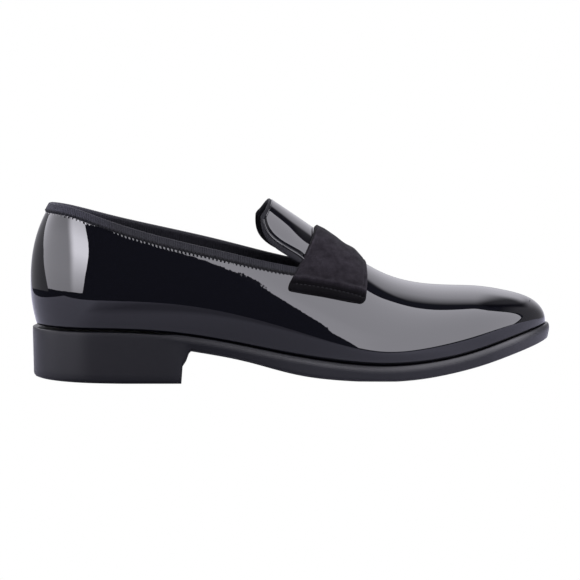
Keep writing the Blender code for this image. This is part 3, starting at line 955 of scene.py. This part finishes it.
def strap_height(rear, front, end):
    """The strap's thickness from the distances to its rear, front and nearest lower edge."""
    crest = smooth((end - STRAP_CREST) / STRAP_CREST)
    inward = smooth(np.minimum(rear, front) / STRAP_EDGE_RUN)
    height = STRAP_THICK * (STRAP_EDGE_THICK + (1 - STRAP_EDGE_THICK) * inward)
    height = height + crest * sum(bell(rear - at, high, wide) for at, high, wide in STRAP_HUMPS)
    height = height + sum(bell(end - at, high, wide) for at, high, wide in STRAP_END_RIDGES)
    height = height - STRAP_TURN_IN * smooth((STRAP_RIDGE - end) / STRAP_TURN_RUN)
    height = height - bell(front - STRAP_EDGE_SEAM, STRAP_SEAM_DEPTH, STRAP_SEAM_WIDTH)
    rear_rim = bullnose(rear, STRAP_ROUND - STRAP_REAR_TIGHT * crest)
    front_rim = bullnose(front, STRAP_ROUND + STRAP_FRONT_ROLL * crest)
    return rear_rim * front_rim * bullnose(end, STRAP_END_ROUND) * height


def make_strap():
    """The strap, and the points and directions of its two stitch lines."""
    base = strap_base()
    normal = grid_normals(base)
    rear = grid_run(base, 0)
    front = rear[-1:] - rear
    lateral = grid_run(base, 1)
    medial = lateral[:, -1:] - lateral
    end = np.minimum(lateral, medial)
    outside = base + (STRAP_CLEAR + strap_height(rear, front, end))[..., None] * normal
    inside = base + STRAP_CLEAR * normal
    notes = {"strap_end": end, "strap_rim": np.minimum(rear, front), "strap_back": rear}
    notes = {label: np.concatenate([values, values]) for label, values in notes.items()}
    sheets = [(outside, False, False), (inside, True, False)]
    strap = make_object("saddle_strap", sheets, weld=FINE_WELD, notes=notes)
    rows = np.arange(len(base))
    lines = []
    for run in (lateral, medial):
        nearest = np.argmin(np.abs(run - STRAP_STITCH), axis=1)
        lines.append((outside[rows, nearest], normal[rows, nearest]))
    return strap, lines


def make_strap_stitches(lines):
    """Stitches along the strap's two stitch lines."""
    starts, ends, tops = [], [], []
    for points, normal in lines:
        run = path_run(points)
        for at in np.arange(STRAP_STITCH_MARGIN, run[-1] - STRAP_STITCH_MARGIN, STRAP_STITCH_PITCH):
            starts.append(along_path(at, run, points))
            ends.append(along_path(at + STRAP_STITCH_SHARE * STRAP_STITCH_PITCH, run, points))
            tops.append(normal[np.searchsorted(run, at)])
    return make_threads("strap_stitches", starts, ends, tops, STRAP_STITCH_RADIUS)


# Sole and insole

def sole_stations():
    """Stations along the sole, close together at heel and toe, with those of the breast among them."""
    heel = BREAST_X * np.linspace(0, 1, SOLE_ENDS) ** 2
    breast = np.array([row[0] for row in BREAST])
    middle = np.linspace(BREAST_END, FLAT_START, SOLE_ARCH)
    flat = np.linspace(FLAT_START, FLAT_END, SOLE_FLAT)
    toe = TOE_X - (TOE_X - FLAT_END) * np.linspace(1, 0, SOLE_ENDS) ** 2
    return np.unique(np.concatenate([heel, breast, middle, flat, toe]).round(4))


def underside_height(x):
    """Height of the sole's underside: heel, breast and then the arch, the flat tread and the toe spring."""
    breast = np.array(BREAST)
    heel = HEEL_LIFT * np.clip(1 - x / HEEL_FLAT_X, 0, 1) ** HEEL_LIFT_POWER
    front = np.where((x > FLAT_START) & (x < FLAT_END), 0, np.maximum(arch_height(x), 0))
    step = np.interp(x, breast[:, 0], breast[:, 1])
    return np.where(x <= BREAST_X, heel, np.where(x < breast[-1, 0], step, front))


def slant_breast(plan):
    """Draws the medial end of the breast back, with a shift that dies out along the outline."""
    near = np.clip(1 - np.abs(plan[:, 0] - BREAST_END) / BREAST_REACH, 0, 1)
    share = (plan[:, 1] - plan[:, 1].min()) / np.ptp(plan[:, 1])
    return plan - np.stack([BREAST_SLANT * share * smooth(near), 0 * share], axis=1)


def sole_rings(stations, bottom, fore):
    """Insets and heights of the rings round the sole, from its lip down the wall to its lower edge."""
    top = both_sides(SECTION["feather"](stations) - GAP)
    on_heel = both_sides(stations < BREAST_END)
    heel = both_sides(smooth((BREAST_X - stations) / HEEL_BLEND))
    lip = []
    for inset, heel_inset, depth, heel_depth in LIP_PROFILE:
        lip.append((inset + (heel_inset - inset) * heel, top - depth - (heel_depth - depth) * heel))
    edge = []
    for inset, heel_inset, heel_rise, fore_rise in EDGE_PROFILE:
        edge.append((inset + (heel_inset - inset) * heel, bottom + heel_rise * on_heel + fore_rise * fore))
    wall = [tuple(a + (b - a) * share for a, b in zip(lip[-1], edge[0])) for share in WALL_SHARES]
    return lip + wall + edge


def make_sole():
    """The unit sole: its side, its tread from rim to rim, and the lid under the upper."""
    stations = sole_stations()
    count = len(stations)
    bottom = both_sides(underside_height(stations))
    on_fore = stations >= BREAST_END
    fore = both_sides(np.interp(stations, (FLAT_END, TOE_X), (1, TOE_EDGE)) * on_fore)
    loops = []
    for inset, height in sole_rings(stations, bottom, fore):
        plan = slant_breast(feather_loop(stations, (WELT - inset)[:, None]))
        loops.append(np.column_stack([plan, height]))
    side = np.stack(loops)
    lateral, medial = loop_sides(side[-1], count)
    settled = np.minimum(1, (medial[:, 1] - lateral[:, 1]) / 2 / TREAD_SPAN)
    rows = [lateral]
    for share, fore_rise in TREAD:
        row = lateral + (medial - lateral) * share
        target = bottom[:count] + fore_rise * fore[:count]
        row[:, 2] = lateral[:, 2] + (target - lateral[:, 2]) * settled
        rows.append(row)
    tread = np.stack(rows + [medial])
    lid = np.stack(loop_sides(side[0], count))
    sheets = [(side, False, True), (tread, True, False), (lid, False, False)]
    return make_object("unit_sole", sheets, weld=SOLE_WELD, sharp=SOLE_SHARP)


def make_sock():
    """The board that the foot stands on, its top dished and its underside flat."""
    stations = sole_stations()
    count = len(stations)
    seat = both_sides(SECTION["feather"](stations))
    loops = []
    for inset, rise in SOCK_PROFILE:
        loops.append(np.column_stack([feather_loop(stations, -inset), seat + rise]))
    sheets = [(np.stack(loops), True, True)]
    for rim, dish, flip in ((loops[-1], SOCK_DISH, False), (loops[0], 0.0, True)):
        lateral, medial = loop_sides(rim, count)
        settled = np.minimum(1, (medial[:, 1] - lateral[:, 1]) / SOCK_DISH_SPAN)
        rows = []
        for share in np.linspace(0, 1, SOCK_ROWS):
            row = lateral + (medial - lateral) * share
            row[:, 2] -= dish * (1 - (2 * share - 1) ** SOCK_DISH_POWER) * settled
            rows.append(row)
        sheets.append((np.stack(rows), flip, False))
    return make_object("sock_lining", sheets, weld=SOLE_WELD, sharp=SOCK_SHARP)


# Shader nodes

def add_node(tree, kind, inputs=None, **settings):
    """A shader node with settings, whose inputs are values or other nodes' outputs."""
    node = tree.nodes.new(kind)
    for name, value in settings.items():
        setattr(node, name, value)
    for name, value in (inputs or {}).items():
        if isinstance(value, bpy.types.NodeSocket):
            tree.links.new(value, node.inputs[name])
        else:
            node.inputs[name].default_value = value
    return node


def new_material(name, roughness, colour=None, **sockets):
    """A principled material with plain values on its sockets, its node tree and its shader."""
    material = bpy.data.materials.new(name)
    material.use_nodes = True
    shader = material.node_tree.nodes["Principled BSDF"]
    shader.inputs["Roughness"].default_value = roughness
    if colour:
        shader.inputs["Base Color"].default_value = (*colour, 1)
    for socket, value in sockets.items():
        shader.inputs[socket.replace("_", " ")].default_value = value
    return material, material.node_tree, shader


def add_bump(tree, shader, height, distance, strength=1.0):
    """Bump from a height in units of distance, in millimetres; several calls stack."""
    inputs = {"Height": height, "Distance": distance * MM, "Strength": strength}
    before = shader.inputs["Normal"].links
    if before:
        inputs["Normal"] = before[0].from_socket
    bump = add_node(tree, "ShaderNodeBump", inputs)
    tree.links.new(bump.outputs["Normal"], shader.inputs["Normal"])


def read_note(tree, label):
    """A named number that the mesh keeps for each vertex."""
    return add_node(tree, "ShaderNodeAttribute", attribute_name=label).outputs["Fac"]


def maths(tree, operation, *values):
    """Result of a math operation on values or outputs."""
    return add_node(tree, "ShaderNodeMath", dict(enumerate(values)), operation=operation).outputs[0]


def map_range(tree, value, span, result=(0.0, 1.0), kind="LINEAR"):
    """A number that goes from the first result to the second as a value crosses a span."""
    ends = dict(zip(("From Min", "From Max", "To Min", "To Max"), (*span, *result)))
    node = add_node(tree, "ShaderNodeMapRange", {"Value": value, **ends}, interpolation_type=kind)
    return node.outputs[0]


def noise(tree, grain, detail=2.0, roughness=0.5):
    """Noise with features of about that many millimetres."""
    where = add_node(tree, "ShaderNodeTexCoord").outputs["Object"]
    inputs = {"Vector": where, "Scale": 1 / (grain * MM), "Detail": detail, "Roughness": roughness}
    return add_node(tree, "ShaderNodeTexNoise", inputs).outputs["Fac"]


def along_shoe(tree):
    """Place along the shoe in metres, towards the toe."""
    where = add_node(tree, "ShaderNodeTexCoord").outputs["Object"]
    return add_node(tree, "ShaderNodeSeparateXYZ", {0: where}).outputs["X"]


def ramp(tree, value, low, high, first, second):
    """Colour from the first to the second as a value goes from low to high."""
    inputs = {0: map_range(tree, value, (low, high)), 6: (*first, 1), 7: (*second, 1)}
    return add_node(tree, "ShaderNodeMix", inputs, data_type="RGBA").outputs[2]


def grey(tone):
    """An even colour, or a factor for all three channels."""
    return (tone,) * 3


def set_colour(tree, shader, colour, *factors):
    """Gives a shader a colour multiplied by other colours."""
    for factor in factors:
        inputs = {0: 1.0, 6: colour, 7: factor}
        colour = add_node(tree, "ShaderNodeMix", inputs, data_type="RGBA", blend_type="MULTIPLY").outputs[2]
    tree.links.new(colour, shader.inputs["Base Color"])


# Materials of the shoe

def patent_material():
    """Mirror gloss with a slight ripple. Below the ribbon the leather puckers unevenly between stitches, at
    the back of the heel and on the sides."""
    material, tree, shader = new_material("patent", roughness=0.012, colour=(0.001, 0.001, 0.0016), IOR=1.5)
    add_bump(tree, shader, noise(tree, grain=6.0, detail=1.0), distance=0.007)
    add_bump(tree, shader, noise(tree, grain=1.6, detail=1.0), distance=0.0012)
    run = read_note(tree, "collar_run")
    wave = maths(tree, "SINE", maths(tree, "MULTIPLY", run, 2 * math.pi / STITCH_PITCH))
    near = map_range(tree, read_note(tree, "collar_depth"), PUCKER_DEPTH, (1, 0), "SMOOTHSTEP")
    uneven = map_range(tree, noise(tree, grain=7.0), (0.35, 0.6))
    apart = maths(tree, "ABSOLUTE", maths(tree, "SUBTRACT", run, HEEL_RUN))
    side = map_range(tree, apart, PUCKER_SIDE)
    back = map_range(tree, apart, PUCKER_BACK, (1.5, 0.1))
    pucker = wave
    for share in (near, uneven, maths(tree, "MAXIMUM", side, back)):
        pucker = maths(tree, "MULTIPLY", pucker, share)
    add_bump(tree, shader, pucker, PUCKER)
    return material


def lining_material():
    """Matte mottled leather."""
    material, tree, shader = new_material("lining", roughness=0.7, Specular_IOR_Level=0.08)
    mottle = noise(tree, grain=1.2, detail=4.0)
    set_colour(tree, shader, ramp(tree, mottle, 0.3, 0.7, (0.0016, 0.0015, 0.002), (0.003, 0.0029, 0.0037)))
    add_bump(tree, shader, noise(tree, grain=0.5, detail=3.0), distance=0.08)
    return material


def ribbon_material():
    """Ribbed cloth, with painted shade along its pressed lower edge and in its grooves, a painted highlight
    on the crests of its ribs, and painted light round the heel.
    """
    material, tree, shader = new_material("grosgrain", roughness=0.6, Sheen_Weight=0.01,
                                          Specular_IOR_Level=0.12)
    share = read_note(tree, "ribbon_share")
    # Painted shade: the ribbon is darker along its pressed lower edge, below its stitches.
    colour = ramp(tree, share, 0.24, 0.4, (0.0012, 0.0012, 0.0018), (0.0052, 0.0052, 0.007))
    # Painted light: the ribbon is painted paler round the back of the heel.
    heel = ramp(tree, along_shoe(tree), -0.145, -0.1, grey(4), grey(1))
    weave = ramp(tree, noise(tree, grain=0.4), 0.35, 0.65, grey(0.75), grey(1.25))
    # Painted shade in the grooves between the ribs and a painted highlight on their crests.
    painted_rib_shading = ramp(tree, read_note(tree, "ribbon_groove"), 0.05, 0.6, grey(1.3), grey(0.3))
    set_colour(tree, shader, colour, heel, weave, painted_rib_shading)
    add_bump(tree, shader, noise(tree, grain=0.18), distance=0.03)
    return material


def suede_material():
    """Short nap: clouds where it lies differently, a fine grain, painted shade on the turned-in end under a
    painted highlight along the fold's ridge, painted shade towards the lower ends, a painted highlight
    along the rim and painted shade on the rear edge."""
    material, tree, shader = new_material("suede", roughness=1.0, Sheen_Weight=0.025, Sheen_Roughness=0.45,
                                          Specular_IOR_Level=0.05)
    cloud = noise(tree, grain=5.0, detail=4.0, roughness=0.62)
    colour = ramp(tree, cloud, 0.34, 0.66, (0.0052, 0.0045, 0.0057), (0.0118, 0.0106, 0.0127))
    fibres = noise(tree, grain=0.45, detail=3.0, roughness=0.6)
    grain = ramp(tree, fibres, 0.35, 0.65, grey(0.55), grey(1.4))
    end = read_note(tree, "strap_end")
    # Painted shade on the turned-in end below the fold's ridge.
    turned_end_shade = ramp(tree, end, STRAP_RIDGE - 2.2, STRAP_RIDGE - 0.2, (0.1, 0.095, 0.11), grey(1))
    # Painted highlight along the top of the fold's ridge.
    ridge_highlight = ramp(tree, end, STRAP_RIDGE + 0.6, STRAP_RIDGE + 3.0, grey(1.4), grey(1))
    # Painted shade: deeper towards the strap's lower ends and lighter towards its top.
    fall = ramp(tree, end, STRAP_RIDGE + 1.0, STRAP_RIDGE + 14.0, grey(0.7), grey(1.06))
    # Painted highlight along the strap's rounded rim.
    rim_highlight = ramp(tree, read_note(tree, "strap_rim"), 0.5, 2.0, grey(1.5), grey(1))
    # Painted shade along the strap's rear edge.
    rear_edge_shade = ramp(tree, read_note(tree, "strap_back"), 0.3, 1.1, (0.12, 0.12, 0.13), grey(1))
    set_colour(tree, shader, colour, grain, turned_end_shade, ridge_highlight, fall, rim_highlight, rear_edge_shade)
    add_bump(tree, shader, noise(tree, grain=0.35, detail=4.0, roughness=0.7), distance=0.12)
    return material


def thread_material():
    """Dark thread."""
    material, tree, shader = new_material("thread", 0.6, (0.005, 0.0048, 0.006), Specular_IOR_Level=0.12)
    add_bump(tree, shader, noise(tree, grain=0.15), distance=0.03)
    return material


def rubber_material():
    """Satin rubber, glossier at the back of the heel and on the forepart than between."""
    material, tree, shader = new_material("rubber", roughness=0.4, colour=(0.003, 0.003, 0.004))
    along = along_shoe(tree)
    rear, fore, toe = (map_range(tree, along, span, gloss) for span, gloss in SOLE_GLOSS)
    gloss = maths(tree, "MAXIMUM", maths(tree, "MAXIMUM", rear, fore), toe)
    tree.links.new(gloss, shader.inputs["Specular IOR Level"])
    add_bump(tree, shader, noise(tree, grain=0.5, detail=3.0), distance=0.02)
    return material


# Studio

def make_camera():
    """The camera at the photograph's angle."""
    elevation = math.radians(CAMERA_ELEVATION)
    roll = math.radians(CAMERA_ROLL)
    back = Vector((0, -math.cos(elevation), math.sin(elevation)))
    level_right = Vector((1, 0, 0))
    level_up = back.cross(level_right)
    right = level_right * math.cos(roll) - level_up * math.sin(roll)
    up = level_up * math.cos(roll) + level_right * math.sin(roll)
    data = bpy.data.cameras.new("camera")
    data.sensor_width = SENSOR
    data.lens = FOCAL_PX * SENSOR / FRAME_PX
    camera = bpy.data.objects.new("camera", data)
    eye = CAMERA_TARGET + back * CAMERA_DISTANCE
    camera.matrix_world = Matrix((right, up, back)).transposed().to_4x4()
    camera.matrix_world.translation = eye
    bpy.context.scene.collection.objects.link(camera)
    bpy.context.scene.camera = camera


def studio_material(name):
    """A material with no shader yet, and its node tree."""
    material = bpy.data.materials.new(name)
    material.use_nodes = True
    tree = material.node_tree
    tree.nodes.remove(tree.nodes["Principled BSDF"])
    return material, tree


def set_surface(tree, shader, output="Material Output"):
    """Makes a shader the one that shows."""
    tree.links.new(shader.outputs[0], tree.nodes[output].inputs["Surface"])


def camera_sees(tree, seen, other):
    """A shader that only the camera sees, in place of the other one."""
    ray = add_node(tree, "ShaderNodeLightPath").outputs["Is Camera Ray"]
    return add_node(tree, "ShaderNodeMixShader", {0: ray, 1: other.outputs[0], 2: seen.outputs[0]})


def panel_material():
    """Light of a panel, as strong as its vertices say."""
    material, tree = studio_material("panel")
    glow = {"Color": (*PANEL_TINT, 1), "Strength": read_note(tree, "light")}
    set_surface(tree, add_node(tree, "ShaderNodeEmission", glow))
    return material


def net_material():
    """Gauze that lets through as much as its vertices say."""
    material, tree = studio_material("net")
    set_surface(tree, add_node(tree, "ShaderNodeBsdfTransparent", {"Color": read_note(tree, "passing")}))
    return material


def floor_material():
    """Plain white to the camera, and to the shoe a matte surface as pale as its vertices say."""
    material, tree = studio_material("floor")
    tone = ramp(tree, read_note(tree, "tone"), 0, 1, grey(0), FLOOR_TINT)
    table = add_node(tree, "ShaderNodeBsdfDiffuse", {"Color": tone})
    white = add_node(tree, "ShaderNodeEmission", {"Color": WHITE, "Strength": 1.0})
    set_surface(tree, camera_sees(tree, white, table))
    return material


def add_stage(name, points, label, values, material, flip=False, seen=True):
    """A grid of the studio in metres, with one named number for each vertex."""
    rows, columns = points.shape[:2]
    mesh = bpy.data.meshes.new(name)
    mesh.from_pydata(points.reshape(-1, 3), [], grid_faces(rows, columns, flip=flip).tolist())
    write_note(mesh, label, values)
    mesh.materials.append(material)
    thing = bpy.data.objects.new(name, mesh)
    thing.visible_camera = seen
    thing.visible_shadow = seen
    bpy.context.scene.collection.objects.link(thing)


def dome_points(azimuth, elevation):
    """Directions at azimuths and elevations in degrees."""
    azimuth, elevation = np.broadcast_arrays(np.radians(azimuth), np.radians(elevation))
    flat = np.cos(elevation)
    return np.stack([np.sin(azimuth) * flat, -np.cos(azimuth) * flat, np.sin(elevation)], axis=-1)


def make_panel(name, rows, material):
    """A piece of the dome that gives light, between two azimuths that change with the elevation."""
    table = table_columns(PANEL_COLUMNS, rows)
    heights = np.linspace(rows[0][0], rows[-1][0], PANEL_STEPS)
    start, end, start_light, end_light = (
        np.interp(heights, table["elevation"], table[column])[:, None] for column in PANEL_COLUMNS[1:])
    share = np.linspace(0, 1, PANEL_STEPS)
    low, high = PANEL_RISE.get(name, (0, 1))
    light = start_light + (end_light - start_light) * smooth((share - low) / (high - low))
    radius = np.interp(heights, *PANEL_RADIUS.get(name, ((0,), (DOME,))))[:, None, None]
    points = dome_points(start + (end - start) * share, heights[:, None]) * radius
    add_stage(name, points + np.array(DOME_CENTRE), "light", light, material, seen=False)


def band(values, limits):
    """A share that rises between the first two limits and falls between the last two."""
    begin, full, fall, end = limits
    return smooth((values - begin) / (full - begin)) * smooth((end - values) / (end - fall))


def make_net():
    """A see-through net on a small dome about the toe, densest in its middle."""
    azimuth = np.linspace(NET_AZIMUTH[0], NET_AZIMUTH[-1], NET_STEPS)
    elevation = np.linspace(NET_ELEVATION[0], NET_ELEVATION[-1], NET_STEPS)[:, None]
    passing = 1 - NET_DIM * band(azimuth, NET_AZIMUTH) * band(elevation, NET_ELEVATION)
    points = dome_points(azimuth, elevation) * NET_RADIUS + np.array(NET_CENTRE)
    add_stage("net", points, "passing", passing, net_material(), seen=False)


def make_floor():
    """A pale table whose front edge ends before the panels."""
    table = table_columns(FLOOR_COLUMNS, FLOOR)
    rows = ((-FLOOR_FRONT, "far_tone"), (-FLOOR_FAR, "far_tone"), (-FLOOR_NEAR, "near_tone"),
            (FLOOR_BACK, "near_tone"))
    x = table["x"]
    points = np.stack([np.column_stack([x, 0 * x + y, 0 * x - FLOOR_DROP]) for y, _ in rows])
    tones = np.stack([table[column] for _, column in rows])
    add_stage("floor", points, "tone", tones, floor_material(), flip=True)


def make_world():
    """White behind the shoe, and dim to everything else."""
    world = bpy.data.worlds.new("studio")
    bpy.context.scene.world = world
    world.use_nodes = True
    tree = world.node_tree
    shade = tree.nodes["Background"]
    shade.inputs["Color"].default_value = (*SHADE, 1)
    shade.inputs["Strength"].default_value = 1.0
    white = add_node(tree, "ShaderNodeBackground", {"Color": WHITE, "Strength": 1.0})
    set_surface(tree, camera_sees(tree, white, shade), "World Output")


# Shoe and scene

def make_shoe():
    """All pieces of the shoe, each with its material and the CAD node that it stands for."""
    patent = patent_material()
    lining = lining_material()
    sheets, notes = upper_sheets(UPPER_STEP, TONGUE_MARGIN)
    upper = make_object("upper_patent", sheets, weld=UPPER_WELD, notes=notes)
    thicken(upper, PATENT)
    place(upper, patent, "patent_leather", "upper")
    sheets, _ = upper_sheets(LINING_STEP, TONGUE_MARGIN)
    inner = make_object("upper_lining", sheets, weld=UPPER_WELD)
    sink(inner, LINING_DEPTH)
    thicken(inner, LINING)
    place(inner, lining, "sock_leather")
    place(make_tongue_fold(), patent, "patent_leather")
    ribbon_cloth = ribbon_material()
    place(make_tongue_band(), ribbon_cloth, "ribbon")
    place(make_ribbon(), ribbon_cloth, "ribbon", "collar_binding")
    # These stitches have no ribbon_share note, so they take the ribbon's darkest colour, its painted
    # lower-edge shade.
    place(make_ribbon_stitches(), ribbon_cloth, "ribbon")
    strap, stitch_lines = make_strap()
    place(strap, suede_material(), "suede", "strap")
    place(make_strap_stitches(stitch_lines), thread_material(), "suede")
    place(make_sole(), rubber_material(), "sole_rubber", "sole")
    place(make_sock(), lining, "sock_leather", "insole")


make_camera()
make_world()
make_floor()
light = panel_material()
for panel_name, panel_rows in PANELS.items():
    make_panel(panel_name, panel_rows, light)
make_net()
bpy.context.scene.view_settings.view_transform = "Standard"
make_shoe()

bpy.context.view_layer.update()
